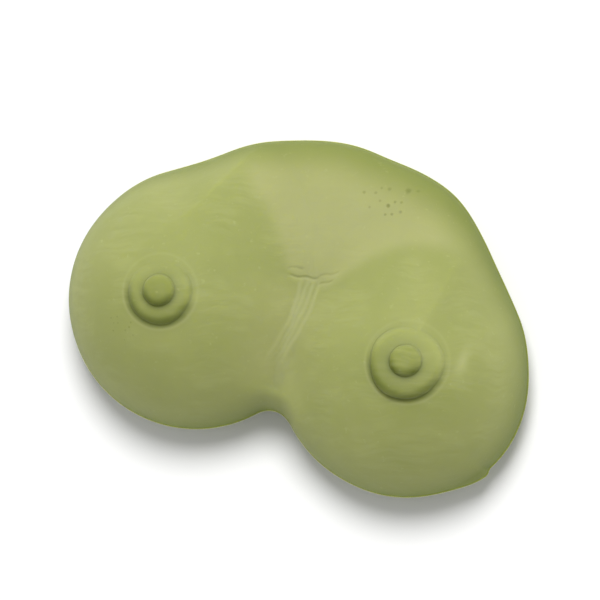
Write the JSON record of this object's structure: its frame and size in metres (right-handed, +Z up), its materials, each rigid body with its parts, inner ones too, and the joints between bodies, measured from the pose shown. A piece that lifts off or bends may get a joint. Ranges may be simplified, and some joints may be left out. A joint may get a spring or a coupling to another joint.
{
  "type": "fruit gummy",
  "caption": "Moulded translucent gummy sweet: rounded domes side by side, each with a low collar and a small nub, joined by a sloping slab over a soft rounded back.",
  "frame": {"origin": "under the middle of the gummy, on the flat of the back that it rests on", "axes": "+X along the length, from the left dome to the right one; +Y towards the plain sloping slab, away from the notch; +Z up, out of the moulded front"},
  "size_m": [0.0384, 0.0264, 0.0147],
  "materials": {
    "gummy_gel": "satin, translucent olive-green gel"
  },
  "bodies": {
    "root": {"gummy": "gummy_gel"}
  },
  "joints": []
}
